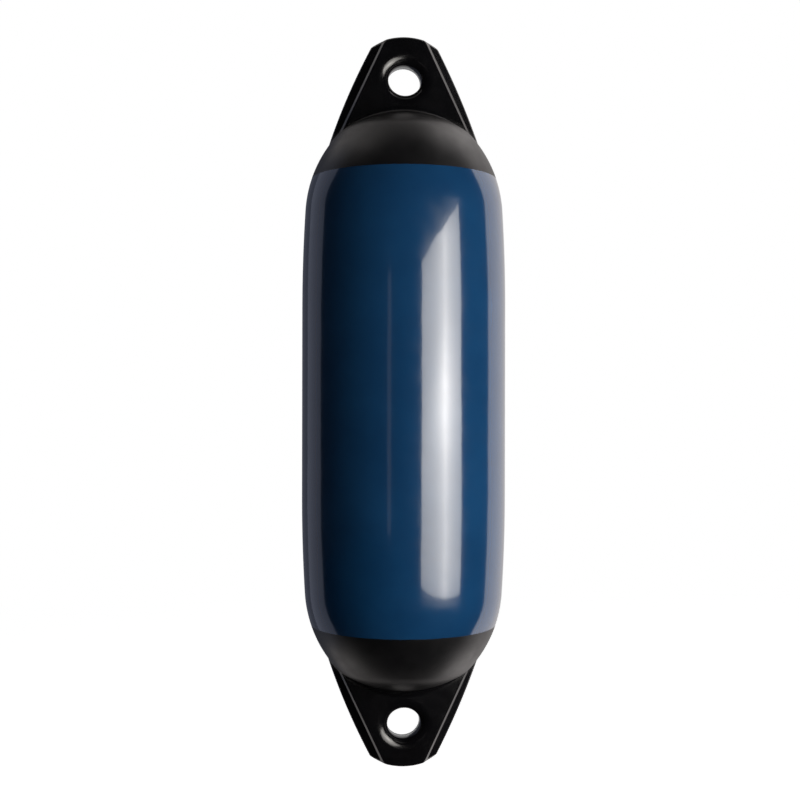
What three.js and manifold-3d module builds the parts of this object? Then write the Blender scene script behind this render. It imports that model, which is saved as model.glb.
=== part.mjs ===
// Inflatable boat fender: a sealed vinyl moulding with a slightly barrelled blue tube, two domed
// black ends and a flat flared ear with a rope eye on each end, and a screw-plugged inflation valve.
//
// Millimetres, +Z up the fender. The origin is the centre of the upper eye, where the fender hangs.
// The ears are flat across Y: their faces look along -Y, the front, and +Y, the back.

import * as THREE from 'three';
import { mergeVertices } from 'three/addons/utils/BufferGeometryUtils.js';
import Module from 'manifold-3d';

// Driving dimensions: the tube and its domed ends, from the middle of the fender upwards.
// Each angle is how far the wall has turned in towards the axis where that arc ends.
const BARREL_RADIUS = 63;
const BARREL_STRAIGHT_HALF = 58;
const TAPER_ARC_RADIUS = 978;
const TAPER_END_ANGLE = 3.53;
const SHOULDER_ARC_RADIUS = 75.7;
const SHOULDER_END_ANGLE = 40.8;
const CROWN_TURN_RADIUS = 25.2;
const CROWN_TURN_END_ANGLE = 59.4;
const COLOUR_RING_HEIGHT = 137.5;

// Driving dimensions: the ears.
const EYE_ABOVE_CROWN = 20.43;
const TIP_ABOVE_EYE = 26.3;
const EAR_THICKNESS = 17.4;
const TIP_HALF_WIDTH = 20.8;
const TIP_ARC_RADIUS = 40;
const TIP_CORNER_RADIUS = 2.5;
const SIDE_ARC_RADIUS = 400;
const FLARE_ANGLE_AT_TIP = 27.8;
const FACE_HALF_WIDTH_AT_EYE = 23.3;
const FACE_FLARE_ANGLE = 25.1;
const PARTING_EDGE_HALF = 1.4;
const TIP_EDGE_ROUND = 2.2;
const EAR_ROOT_DEPTH = 26;
const ROOT_FILLET_RADIUS = 2.6;
const EYE_HALF_WIDTH = 10.3;
const EYE_HALF_HEIGHT = 9.4;
const EYE_RIM_ROUND = 3.4;

// Driving dimensions: the inflation valve, set in the back of the lower crown.
const VALVE_OFF_AXIS = 28;
const VALVE_FLANGE_RADIUS = 9;
const VALVE_FLANGE_THICKNESS = 2;
const VALVE_STEM_RADIUS = 6.4;
const VALVE_STEM_LENGTH = 13;
const PLUG_HEAD_RADIUS = 5.2;
const PLUG_HEAD_THICKNESS = 1.3;
const PLUG_SHANK_RADIUS = 3.8;
const PLUG_SHANK_LENGTH = 8;
const PLUG_SLOT_WIDTH = 1.6;
const PLUG_SLOT_DEPTH = 0.9;
const EDGE_BREAK = 0.5;
const FIT_CLEARANCE = 0.3;

// How finely the round forms are divided.
const TUBE_SEGMENTS = 56;
const EYE_SEGMENTS = 36;
const VALVE_SEGMENTS = 32;
const TIP_ARC_SEGMENTS = 12;
const CORNER_SEGMENTS = 4;
const SIDE_SEGMENTS = 6;
const EDGE_ROUND_SEGMENTS = 3;
const RIM_SEGMENTS = 4;
const FILLET_SEGMENTS = 4;
const FILLET_STATIONS = 22;

// Edges shorter than this are closed up after the cuts.
const SLIVER = 0.004;

// How far a cutter or a joined piece runs past the surface that it meets.
const OVERRUN = 4;
const FILLET_BITE = 0.8;
const FILLET_END_SINK = 0.5;
const FILLET_SWEEP = 74;

const wasm = await Module();
wasm.setup();

const radians = THREE.MathUtils.degToRad;
const lerp = THREE.MathUtils.lerp;

// One arc of the wall's section, in the plane of radius and height, that starts at a point with the
// wall turned in by startAngle and ends turned in by endAngle.
function wallArc(start, arcRadius, startAngle, endAngle) {
  const centre = new THREE.Vector2(
    start.x - arcRadius * Math.cos(startAngle),
    start.y - arcRadius * Math.sin(startAngle),
  );
  const pointAt = (angle) => new THREE.Vector2(
    centre.x + arcRadius * Math.cos(angle),
    centre.y + arcRadius * Math.sin(angle),
  );
  return { centre, arcRadius, startAngle, endAngle, pointAt, end: pointAt(endAngle) };
}

// The four arcs of one end of the fender, each tangent to the one before. The last, the crown, has its
// centre on the axis, which sets its radius.
function wallArcs() {
  const straightEnd = new THREE.Vector2(BARREL_RADIUS, BARREL_STRAIGHT_HALF);
  const angles = [0, TAPER_END_ANGLE, SHOULDER_END_ANGLE, CROWN_TURN_END_ANGLE].map(radians);
  const taper = wallArc(straightEnd, TAPER_ARC_RADIUS, angles[0], angles[1]);
  const shoulder = wallArc(taper.end, SHOULDER_ARC_RADIUS, angles[1], angles[2]);
  const turn = wallArc(shoulder.end, CROWN_TURN_RADIUS, angles[2], angles[3]);
  const crownRadius = turn.end.x / Math.cos(angles[3]);
  const crown = wallArc(turn.end, crownRadius, angles[3], Math.PI / 2);
  return { taper, shoulder, turn, crown };
}

const wall = wallArcs();
const CROWN_HEIGHT = wall.crown.end.y;
const EYE_HEIGHT = CROWN_HEIGHT + EYE_ABOVE_CROWN;
const TIP_HEIGHT = EYE_HEIGHT + TIP_ABOVE_EYE;
const ROOT_HEIGHT = CROWN_HEIGHT - EAR_ROOT_DEPTH;
const EAR_HALF = EAR_THICKNESS / 2;
const FACE_FLARE_SLOPE = Math.tan(radians(FACE_FLARE_ANGLE));

// Height and outward direction of the end's outer surface at a distance from the axis.
function domeAt(distance) {
  const arc = [wall.crown, wall.turn, wall.shoulder].find((one) => distance <= one.pointAt(one.startAngle).x)
    ?? wall.taper;
  const across = distance - arc.centre.x;
  const up = Math.sqrt(arc.arcRadius ** 2 - across ** 2);
  return { height: arc.centre.y + up, outward: across / arc.arcRadius, upward: up / arc.arcRadius };
}

// A closed three.js geometry as a solid that can be joined and cut.
function toSolid(geometry) {
  const bare = geometry.clone();
  bare.deleteAttribute('normal');
  bare.deleteAttribute('uv');
  const merged = mergeVertices(bare, 1e-4);
  return new wasm.Manifold(new wasm.Mesh({
    numProp: 3,
    vertProperties: new Float32Array(merged.attributes.position.array),
    triVerts: new Uint32Array(merged.index.array),
  }));
}

// A solid as a three.js geometry, with the slivers that a cut leaves closed up.
function toGeometry(solid) {
  const mesh = solid.setTolerance(SLIVER).getMesh();
  const geometry = new THREE.BufferGeometry();
  geometry.setAttribute('position', new THREE.BufferAttribute(mesh.vertProperties, 3));
  geometry.setIndex(new THREE.BufferAttribute(mesh.triVerts, 1));
  geometry.computeVertexNormals();
  return geometry;
}

// A profile of (radius, height) points revolved about +Z.
function revolve(profile, segments) {
  return new THREE.LatheGeometry(profile, segments).rotateX(Math.PI / 2);
}

// The wall's section from pole to pole, with a point at each colour ring so that the ring is an edge.
function tubeProfile() {
  const ringLift = (COLOUR_RING_HEIGHT - wall.shoulder.centre.y) / SHOULDER_ARC_RADIUS;
  const ringAngle = Math.asin(ringLift);
  const spans = [
    [wall.taper, wall.taper.startAngle, wall.taper.endAngle, 3],
    [wall.shoulder, wall.shoulder.startAngle, ringAngle, 3],
    [wall.shoulder, ringAngle, wall.shoulder.endAngle, 4],
    [wall.turn, wall.turn.startAngle, wall.turn.endAngle, 4],
    [wall.crown, wall.crown.startAngle, wall.crown.endAngle, 7],
  ];
  const upper = [wall.taper.pointAt(0)];
  for (const [arc, from, to, steps] of spans) {
    for (let i = 1; i <= steps; i++) {
      upper.push(arc.pointAt(lerp(from, to, i / steps)));
    }
  }
  upper[upper.length - 1].x = 0;
  const lower = upper.map((point) => new THREE.Vector2(point.x, -point.y)).reverse();
  return [...lower, ...upper];
}

// The arcs of the ear's outline on one side: the arched tip, the bowed side, which starts where it would
// meet the tip in a sharp corner, and the corner's own round, tangent to both.
function outlineArcs() {
  const tip = new THREE.Vector2(0, TIP_HEIGHT - TIP_ARC_RADIUS);
  const flare = radians(FLARE_ANGLE_AT_TIP);
  const sharpCornerRise = Math.sqrt(TIP_ARC_RADIUS ** 2 - TIP_HALF_WIDTH ** 2);
  const sharpCorner = new THREE.Vector2(TIP_HALF_WIDTH, tip.y + sharpCornerRise);
  const side = new THREE.Vector2(
    sharpCorner.x - SIDE_ARC_RADIUS * Math.cos(flare),
    sharpCorner.y - SIDE_ARC_RADIUS * Math.sin(flare),
  );
  // The round's centre is a corner radius inside both arcs: along the line between their centres by
  // the cosine rule, then off that line, outwards, by Pythagoras.
  const toTip = TIP_ARC_RADIUS - TIP_CORNER_RADIUS;
  const toSide = SIDE_ARC_RADIUS - TIP_CORNER_RADIUS;
  const line = new THREE.Vector2().subVectors(side, tip);
  const apart = line.length();
  const along = (toTip ** 2 - toSide ** 2 + apart ** 2) / (2 * apart);
  const off = Math.sqrt(toTip ** 2 - along ** 2);
  line.normalize();
  const corner = new THREE.Vector2(
    tip.x + line.x * along + line.y * off,
    tip.y + line.y * along - line.x * off,
  );
  const startAngle = Math.atan2(corner.y - side.y, corner.x - side.x);
  const endAngle = Math.atan2(corner.y - tip.y, corner.x - tip.x);
  return { tip, side, corner, startAngle, endAngle };
}

const outline = outlineArcs();

// Half-width of the ear's outline at a height, down its bowed sides.
function earHalfWidth(height) {
  return outline.side.x + Math.sqrt(SIDE_ARC_RADIUS ** 2 - (height - outline.side.y) ** 2);
}

// Half-width of the ear's flat face at a height. Its edges are straight, and the side bevel fills the
// width between them and the outline.
function faceHalfWidth(height) {
  return FACE_HALF_WIDTH_AT_EYE + (EYE_HEIGHT - height) * FACE_FLARE_SLOPE;
}

function sideBevel(height) {
  return earHalfWidth(height) - faceHalfWidth(height);
}

// The ear's outline in X and Z, from the foot of the right side, inside the dome, round the tip.
function earOutline() {
  const { tip, corner, startAngle, endAngle } = outline;
  const points = [];
  const sideEnd = corner.y + TIP_CORNER_RADIUS * Math.sin(startAngle);
  for (let i = 0; i < SIDE_SEGMENTS; i++) {
    const height = lerp(ROOT_HEIGHT, sideEnd, i / SIDE_SEGMENTS);
    points.push(new THREE.Vector2(earHalfWidth(height), height));
  }
  for (let i = 0; i <= CORNER_SEGMENTS; i++) {
    const angle = lerp(startAngle, endAngle, i / CORNER_SEGMENTS);
    points.push(new THREE.Vector2(
      corner.x + TIP_CORNER_RADIUS * Math.cos(angle),
      corner.y + TIP_CORNER_RADIUS * Math.sin(angle),
    ));
  }
  const mirrored = points.map((point) => new THREE.Vector2(-point.x, point.y)).reverse();
  for (let i = 1; i < TIP_ARC_SEGMENTS; i++) {
    const angle = lerp(endAngle, Math.PI - endAngle, i / TIP_ARC_SEGMENTS);
    points.push(new THREE.Vector2(
      TIP_ARC_RADIUS * Math.cos(angle),
      tip.y + TIP_ARC_RADIUS * Math.sin(angle),
    ));
  }
  return [...points, ...mirrored];
}

// The ear's outline as a plate of full thickness whose front and back edges are rounded.
function earPlate() {
  return new THREE.ExtrudeGeometry(new THREE.Shape(earOutline()), {
    depth: EAR_THICKNESS - 2 * TIP_EDGE_ROUND,
    bevelEnabled: true,
    bevelThickness: TIP_EDGE_ROUND,
    bevelSize: TIP_EDGE_ROUND,
    bevelOffset: -TIP_EDGE_ROUND,
    bevelSegments: EDGE_ROUND_SEGMENTS,
  }).translate(0, 0, TIP_EDGE_ROUND - EAR_HALF).rotateX(Math.PI / 2);
}

// A bar with a pointed section whose sloping sides cut the bevels along both sides of the ear. It is
// thicker than the ear, so that only its sides cut.
function bevelBar() {
  const halfY = EAR_HALF + OVERRUN;
  const vertices = [];
  for (let i = 0; i <= SIDE_SEGMENTS; i++) {
    const height = lerp(ROOT_HEIGHT - OVERRUN, TIP_HEIGHT + OVERRUN, i / SIDE_SEGMENTS);
    const slope = sideBevel(height) / (EAR_HALF - PARTING_EDGE_HALF);
    const ridge = earHalfWidth(height) + slope * PARTING_EDGE_HALF;
    const edge = ridge - slope * halfY;
    const section = [[edge, -halfY], [ridge, 0], [edge, halfY], [-edge, halfY], [-ridge, 0], [-edge, -halfY]];
    for (const [x, y] of section) {
      vertices.push(new THREE.Vector3(x, y, height));
    }
  }
  return tubeOfSections(vertices, 6);
}

// A closed skin over equal sections given one after another, with a fan of triangles on each end.
function tubeOfSections(vertices, sectionSize) {
  const sections = vertices.length / sectionSize;
  const index = [];
  for (let i = 0; i < sections - 1; i++) {
    for (let j = 0; j < sectionSize; j++) {
      const a = i * sectionSize + j;
      const b = i * sectionSize + ((j + 1) % sectionSize);
      index.push(a, b, b + sectionSize, a, b + sectionSize, a + sectionSize);
    }
  }
  const last = (sections - 1) * sectionSize;
  for (let j = 1; j < sectionSize - 1; j++) {
    index.push(0, j + 1, j, last, last + j, last + j + 1);
  }
  const geometry = new THREE.BufferGeometry().setFromPoints(vertices);
  geometry.setIndex(index);
  return geometry;
}

// The rope eye as a cutter: a slightly oval hole through the ear with a rounded rim on both faces.
function eyeCutter() {
  const half = [new THREE.Vector2(0, EAR_HALF + OVERRUN)];
  half.push(new THREE.Vector2(EYE_HALF_WIDTH + EYE_RIM_ROUND, EAR_HALF + OVERRUN));
  for (let i = 0; i <= RIM_SEGMENTS; i++) {
    const angle = lerp(Math.PI / 2, 0, i / RIM_SEGMENTS);
    half.push(new THREE.Vector2(
      EYE_HALF_WIDTH + EYE_RIM_ROUND * (1 - Math.cos(angle)),
      EAR_HALF - EYE_RIM_ROUND * (1 - Math.sin(angle)),
    ));
  }
  const other = half.map((point) => new THREE.Vector2(point.x, -point.y));
  const profile = [...other, ...half.reverse()];
  return new THREE.LatheGeometry(profile, EYE_SEGMENTS)
    .scale(1, 1, EYE_HALF_HEIGHT / EYE_HALF_WIDTH)
    .translate(0, 0, EYE_HEIGHT);
}

// Where the ear's outline runs into the dome, as a distance from the axis.
function junctionDistance() {
  let inside = 0;
  let outside = BARREL_RADIUS;
  for (let i = 0; i < 40; i++) {
    const middle = (inside + outside) / 2;
    if (earHalfWidth(domeAt(middle).height) > middle) {
      inside = middle;
    } else {
      outside = middle;
    }
  }
  return inside;
}

// A soft fillet between one face of the ear and the dome: a concave strip that follows the dome's
// curve across the ear and sinks away at the bevelled sides. It stops short of lying flat on the dome,
// which leaves it a clean edge there. side is -1 at the front and 1 at the back.
function rootFillet(side) {
  const reach = junctionDistance();
  const vertices = [];
  for (let i = 0; i <= FILLET_STATIONS; i++) {
    const x = lerp(-reach, reach, i / FILLET_STATIONS);
    const height = domeAt(Math.abs(x)).height;
    const depthIn = (earHalfWidth(height) - Math.abs(x)) / sideBevel(height);
    const fullness = THREE.MathUtils.clamp(depthIn, 0, 1);
    const face = lerp(PARTING_EDGE_HALF, EAR_HALF, fullness);
    const filletRadius = lerp(FILLET_BITE, ROOT_FILLET_RADIUS, fullness);
    const sink = lerp(FILLET_END_SINK, 0, fullness);
    const section = [[face - FILLET_BITE, filletRadius]];
    for (let j = 0; j <= FILLET_SEGMENTS; j++) {
      const angle = radians((FILLET_SWEEP * j) / FILLET_SEGMENTS);
      section.push([face + filletRadius * (1 - Math.cos(angle)), filletRadius * (1 - Math.sin(angle))]);
    }
    const foot = section[section.length - 1][0];
    section.push([foot, -FILLET_BITE], [face - FILLET_BITE, -FILLET_BITE]);
    if (side > 0) {
      section.reverse();
    }
    for (const [y, rise] of section) {
      const lift = rise - sink;
      const distance = Math.hypot(x, y);
      const dome = domeAt(distance);
      vertices.push(new THREE.Vector3(
        x + (lift * dome.outward * x) / distance,
        side * y,
        dome.height + lift * dome.upward,
      ));
    }
  }
  return tubeOfSections(vertices, FILLET_SEGMENTS + 4);
}

// One ear, standing on the upper dome.
function ear() {
  const plate = toSolid(earPlate()).intersect(toSolid(bevelBar()));
  const front = toSolid(rootFillet(-1));
  const back = toSolid(rootFillet(1));
  return plate.add(front).add(back).subtract(toSolid(eyeCutter()));
}

// Where the valve sits, and the way it faces, in the back of the lower crown.
function valveSeat() {
  const dome = domeAt(VALVE_OFF_AXIS);
  const place = new THREE.Vector3(0, VALVE_OFF_AXIS, -dome.height);
  const facing = new THREE.Vector3(0, dome.outward, -dome.upward);
  const turn = new THREE.Quaternion().setFromUnitVectors(new THREE.Vector3(0, 0, 1), facing);
  return { place, turn };
}

// The stepped seat for the valve, as a cutter: the valve's own outline and the clearance round it.
function valveSeatCutter({ place, turn }) {
  const flange = VALVE_FLANGE_RADIUS + FIT_CLEARANCE;
  const stem = VALVE_STEM_RADIUS + FIT_CLEARANCE;
  const floor = -VALVE_FLANGE_THICKNESS - FIT_CLEARANCE;
  const bottom = -VALVE_STEM_LENGTH - FIT_CLEARANCE;
  const profile = [
    [0, bottom],
    [stem, bottom],
    [stem, floor],
    [flange, floor],
    [flange, OVERRUN],
    [0, OVERRUN],
  ];
  const points = profile.map(([x, y]) => new THREE.Vector2(x, y));
  return revolve(points, VALVE_SEGMENTS).applyQuaternion(turn).translate(place.x, place.y, place.z);
}

// The whole moulding: the tube with its domed ends, the same ear on both, and the valve's seat.
function mouldingSolid(seat) {
  const tube = toSolid(revolve(tubeProfile(), TUBE_SEGMENTS));
  const upperEar = ear();
  const lowerEar = upperEar.rotate([180, 0, 0]);
  return tube.add(upperEar).add(lowerEar).subtract(toSolid(valveSeatCutter(seat)));
}

// Blue between the two colour rings and black beyond them, as two groups of faces in one geometry.
function colourByHeight(geometry) {
  const position = geometry.attributes.position;
  const blue = [];
  const black = [];
  const faces = geometry.index.array;
  for (let i = 0; i < faces.length; i += 3) {
    const corners = [faces[i], faces[i + 1], faces[i + 2]];
    const height = corners.reduce((sum, corner) => sum + position.getZ(corner), 0) / 3;
    (Math.abs(height) < COLOUR_RING_HEIGHT ? blue : black).push(...corners);
  }
  geometry.setIndex([...blue, ...black]);
  geometry.addGroup(0, blue.length, 0);
  geometry.addGroup(blue.length, black.length, 1);
  return geometry;
}

// The valve: a flanged bush, recessed for the plug's head and bored for its shank.
function valveGeometry() {
  const recess = PLUG_HEAD_RADIUS + FIT_CLEARANCE;
  const recessFloor = -PLUG_HEAD_THICKNESS - FIT_CLEARANCE;
  const bore = PLUG_SHANK_RADIUS + FIT_CLEARANCE;
  const boreFloor = recessFloor - PLUG_SHANK_LENGTH;
  const profile = [
    [0, -VALVE_STEM_LENGTH],
    [VALVE_STEM_RADIUS - EDGE_BREAK, -VALVE_STEM_LENGTH],
    [VALVE_STEM_RADIUS, -VALVE_STEM_LENGTH + EDGE_BREAK],
    [VALVE_STEM_RADIUS, -VALVE_FLANGE_THICKNESS],
    [VALVE_FLANGE_RADIUS, -VALVE_FLANGE_THICKNESS],
    [VALVE_FLANGE_RADIUS, -EDGE_BREAK],
    [VALVE_FLANGE_RADIUS - EDGE_BREAK, 0],
    [recess, 0],
    [recess, recessFloor],
    [bore, recessFloor],
    [bore, boreFloor],
    [0, boreFloor],
  ];
  return revolve(profile.map(([x, y]) => new THREE.Vector2(x, y)), VALVE_SEGMENTS);
}

// The plug: a flat head with a coin slot, on a plain shank.
function plugGeometry() {
  const underHead = -PLUG_HEAD_THICKNESS;
  const shankEnd = underHead - PLUG_SHANK_LENGTH + FIT_CLEARANCE;
  const profile = [
    [0, shankEnd],
    [PLUG_SHANK_RADIUS - EDGE_BREAK, shankEnd],
    [PLUG_SHANK_RADIUS, shankEnd + EDGE_BREAK],
    [PLUG_SHANK_RADIUS, underHead],
    [PLUG_HEAD_RADIUS, underHead],
    [PLUG_HEAD_RADIUS, -EDGE_BREAK],
    [PLUG_HEAD_RADIUS - EDGE_BREAK, 0],
    [0, 0],
  ];
  const blank = toSolid(revolve(profile.map(([x, y]) => new THREE.Vector2(x, y)), VALVE_SEGMENTS));
  const slotLength = 2 * (PLUG_HEAD_RADIUS + OVERRUN);
  const slot = new THREE.BoxGeometry(slotLength, PLUG_SLOT_WIDTH, 2 * PLUG_SLOT_DEPTH);
  return toGeometry(blank.subtract(toSolid(slot)));
}

const blueVinyl = new THREE.MeshStandardMaterial({ color: 0x0d3f78, roughness: 0.16, metalness: 0 });
const blackVinyl = new THREE.MeshStandardMaterial({ color: 0x0c0c0f, roughness: 0.3, metalness: 0 });
const valveNylon = new THREE.MeshStandardMaterial({ color: 0x1a1a1c, roughness: 0.4, metalness: 0 });
const plugNylon = new THREE.MeshStandardMaterial({ color: 0x28282b, roughness: 0.45, metalness: 0 });

const seat = valveSeat();

const moulding = new THREE.Mesh(colourByHeight(toGeometry(mouldingSolid(seat))), [blueVinyl, blackVinyl]);
moulding.name = 'fender_body';

const valve = new THREE.Mesh(valveGeometry(), valveNylon);
valve.name = 'inflation_valve';

const plug = new THREE.Mesh(plugGeometry(), plugNylon);
plug.name = 'valve_plug';

const valveGroup = new THREE.Group();
valveGroup.position.copy(seat.place);
valveGroup.quaternion.copy(seat.turn);
valveGroup.add(valve, plug);

const fender = new THREE.Group();
fender.position.z = -EYE_HEIGHT;
fender.add(moulding, valveGroup);

export default fender;
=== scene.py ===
"""An inflatable boat fender hanging upright in a white studio.

The fender is one soft vinyl moulding: a glossy blue tube with two satin black domed ends, and a flat
flared ear with a round rope eye on each. A screw-plugged inflation valve sits in the back of the
lower end. Shapes are worked out in millimetres about the middle of the fender and then placed in
the frame, whose origin is the centre of the upper eye.
"""

import math

import bpy
import numpy as np
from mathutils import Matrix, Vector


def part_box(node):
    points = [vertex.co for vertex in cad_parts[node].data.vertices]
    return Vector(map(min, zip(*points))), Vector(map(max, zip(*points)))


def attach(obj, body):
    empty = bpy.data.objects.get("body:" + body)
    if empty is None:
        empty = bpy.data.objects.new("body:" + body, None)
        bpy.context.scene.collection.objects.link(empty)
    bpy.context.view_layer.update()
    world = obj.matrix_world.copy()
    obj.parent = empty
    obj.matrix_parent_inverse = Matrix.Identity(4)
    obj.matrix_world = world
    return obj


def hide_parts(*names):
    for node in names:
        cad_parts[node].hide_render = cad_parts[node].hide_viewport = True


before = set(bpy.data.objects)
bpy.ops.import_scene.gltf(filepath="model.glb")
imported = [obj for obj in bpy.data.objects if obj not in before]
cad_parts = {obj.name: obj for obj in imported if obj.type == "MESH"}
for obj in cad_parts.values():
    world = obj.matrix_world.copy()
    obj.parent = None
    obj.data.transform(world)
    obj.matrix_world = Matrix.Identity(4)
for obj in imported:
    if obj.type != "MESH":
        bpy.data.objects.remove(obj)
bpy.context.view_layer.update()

MM = 0.001
BODY = "root"

# The frame: the fender's own height and the middle of it.
box_low, box_high = (np.array(corner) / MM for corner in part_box("fender_body"))
TIP_HEIGHT = (box_high[2] - box_low[2]) / 2
MIDDLE = np.array([0.0, 0.0, (box_high[2] + box_low[2]) / 2])

# The tube and its domed ends, from the middle upwards. Each angle is how far the wall has turned in
# towards the axis where that arc ends.
BARREL_RADIUS = 63.0
BARREL_STRAIGHT_HALF = 58.0
TAPER_ARC_RADIUS = 978.0
SHOULDER_ARC_RADIUS = 75.7
CROWN_TURN_RADIUS = 25.2
TAPER_END = math.radians(3.53)
SHOULDER_END = math.radians(40.8)
CROWN_TURN_END = math.radians(59.4)
COLOUR_RING_HEIGHT = 137.5

# The ears.
TIP_ABOVE_EYE = 26.3
EYE_HEIGHT = TIP_HEIGHT - TIP_ABOVE_EYE
EAR_HALF = 8.7
TIP_HALF_WIDTH = 20.8
TIP_ARC_RADIUS = 40.0
TIP_CORNER_RADIUS = 2.5
SIDE_ARC_RADIUS = 400.0
FLARE_AT_TIP = math.radians(27.8)
FACE_HALF_WIDTH_AT_EYE = 23.3
FACE_FLARE = math.radians(25.1)
PARTING_EDGE_HALF = 1.4
TIP_EDGE_ROUND = 2.2
SIDE_EDGE_ROUND = 0.7
ROOT_FILLET = 4.6
ROOT_FILLET_AT_EDGE = 0.5
ROOT_FILLET_SWEEP = math.radians(82)
BEVEL_EDGE_SOFTNESS = 0.7
BEVEL_STEP_WIDTH = 1.6
BEVEL_STEP_DROP = 2.4
BEVEL_BORDER_SLOPE = math.radians(34)
EYE_HALF_WIDTH = 10.3
EYE_HALF_HEIGHT = 9.4
EYE_RIM_ROUND = 8.0
EYE_RIM_START = math.radians(31)

# The valve, in the back of the lower crown.
VALVE_OFF_AXIS = 28.0
VALVE_FLANGE_RADIUS = 9.0
VALVE_FLANGE_THICKNESS = 2.0
VALVE_STEM_RADIUS = 6.4
VALVE_STEM_LENGTH = 13.0
PLUG_HEAD_RADIUS = 5.2
PLUG_HEAD_THICKNESS = 1.3
PLUG_SHANK_RADIUS = 3.8
PLUG_SHANK_LENGTH = 8.0
PLUG_SLOT_WIDTH = 1.6
PLUG_SLOT_DEPTH = 0.9
EDGE_BREAK = 0.5
CLEARANCE = 0.3

# Mesh steps: along each arc of the wall from the tube to the pole, along its straight half, and
# round the turned pieces.
WALL_STEPS = (14, 30, 14, 30)
STRAIGHT_POINTS = 16
TUBE_COLUMNS = 176
VALVE_COLUMNS = 96

# Mesh steps on an ear: along half of its loops, and in rows out from its eye. The rows on the flat
# face close up towards its edge by a power.
TIP_STEPS = 26
CORNER_STEPS = 9
SIDE_STEPS = 50
FOOT_STEPS = 44
RIM_ROWS = 12
FLAT_ROWS = 12
FLAT_ROWS_POWER = 1.8
STEP_ROWS = 12
BORDER_ROWS = 18
LEAST_EDGE_HALF = PARTING_EDGE_HALF / 20
SHARP_ANGLE = math.radians(35)

# The view: the camera looks level at the middle of the fender, from a little to its left.
PICTURE = 800
CAMERA_DISTANCE = 800.0
CAMERA_AZIMUTH = math.radians(-5.5)
PICTURE_SPAN_AT_AXIS = 497.9
CAMERA_ROLL = math.radians(-0.1)
FENDER_CENTRE_IN_PICTURE = (403.6, 401.8)
SENSOR = 36.0


def wall_arcs():
    """The arcs of one end as (centre radius, centre height, arc radius, start angle, end angle).
    Each is tangent to the one before, and the last has its centre on the axis."""
    spans = [
        (TAPER_ARC_RADIUS, 0.0, TAPER_END),
        (SHOULDER_ARC_RADIUS, TAPER_END, SHOULDER_END),
        (CROWN_TURN_RADIUS, SHOULDER_END, CROWN_TURN_END),
    ]
    radius, height = BARREL_RADIUS, BARREL_STRAIGHT_HALF
    arcs = []
    for arc_radius, start, end in spans:
        centre_radius = radius - arc_radius * math.cos(start)
        centre_height = height - arc_radius * math.sin(start)
        arcs.append((centre_radius, centre_height, arc_radius, start, end))
        radius = centre_radius + arc_radius * math.cos(end)
        height = centre_height + arc_radius * math.sin(end)
    crown_radius = radius / math.cos(CROWN_TURN_END)
    crown_centre = height - crown_radius * math.sin(CROWN_TURN_END)
    arcs.append((0.0, crown_centre, crown_radius, CROWN_TURN_END, math.pi / 2))
    return arcs


WALL = wall_arcs()
SHOULDER_CENTRE_HEIGHT = WALL[1][1]
CROWN_TURN_CENTRE_HEIGHT = WALL[2][1]
CROWN_RADIUS = WALL[3][2]


def dome_height(radius):
    """Height of the end's outer surface at a distance from the axis: on each arc it is the centre's
    height plus the root of the arc radius squared less the distance across squared."""
    height = np.zeros_like(radius)
    for centre_radius, centre_height, arc_radius, start, end in WALL:
        inner = centre_radius + arc_radius * math.cos(end)
        outer = centre_radius + arc_radius * math.cos(start)
        here = (radius >= inner - 1e-9) & (radius <= outer + 1e-9)
        across = np.clip(radius - centre_radius, -arc_radius, arc_radius)
        height = np.where(here, centre_height + np.sqrt(arc_radius**2 - across**2), height)
    return height


def dome_clearance(radius, height):
    """Distance out from the end's surface: the distance to the centre of the arc that faces the
    point, less the arc radius. An arc faces a point whose direction from its centre it spans."""
    clearance = None
    for centre_radius, centre_height, arc_radius, start, end in WALL:
        across = radius - centre_radius
        up = height - centre_height
        distance = np.hypot(across, up) - arc_radius
        faces = np.arctan2(up, across) >= start
        clearance = distance if clearance is None else np.where(faces, distance, clearance)
    return clearance


def wall_profile():
    """The wall's section from the lower pole to the upper one, as radii and heights. Each arc is
    sampled evenly by angle, and the shoulder has a point at the colour ring."""
    ring = math.asin((COLOUR_RING_HEIGHT - SHOULDER_CENTRE_HEIGHT) / SHOULDER_ARC_RADIUS)
    stations = []
    for (centre_radius, centre_height, arc_radius, start, end), count in zip(WALL, WALL_STEPS):
        angles = np.linspace(start, end, count + 1)[1:]
        if start < ring < end:
            before = np.linspace(start, ring, count // 2 + 1)[1:]
            after = np.linspace(ring, end, count - count // 2 + 1)[1:]
            angles = np.concatenate([before, after])
        radii = centre_radius + arc_radius * np.cos(angles)
        heights = centre_height + arc_radius * np.sin(angles)
        stations.append(np.stack([radii, heights], axis=1))
    straight = np.linspace(0, BARREL_STRAIGHT_HALF, STRAIGHT_POINTS)
    tube = np.stack([np.full_like(straight, BARREL_RADIUS), straight], axis=1)
    upper = np.concatenate([tube, *stations])
    upper[-1, 0] = 0.0
    lower = upper[:0:-1] * [1, -1]
    return np.concatenate([lower, upper])


def grid_faces(rows, columns, close_rows=False):
    """Quads of a grid whose columns close on themselves, and whose rows do too where asked."""
    row = np.arange(rows if close_rows else rows - 1)[:, None]
    column = np.arange(columns)[None, :]
    next_row = (row + 1) % rows
    next_column = (column + 1) % columns
    corners = [
        row * columns + column,
        row * columns + next_column,
        next_row * columns + next_column,
        next_row * columns + column,
    ]
    quads = np.stack([np.broadcast_to(c, (len(row), columns)) for c in corners], axis=-1)
    return quads.reshape(-1, 4)


def placed(name, data):
    """A new object in the scene that holds the data."""
    piece = bpy.data.objects.new(name, data)
    bpy.context.scene.collection.objects.link(piece)
    return piece


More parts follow.
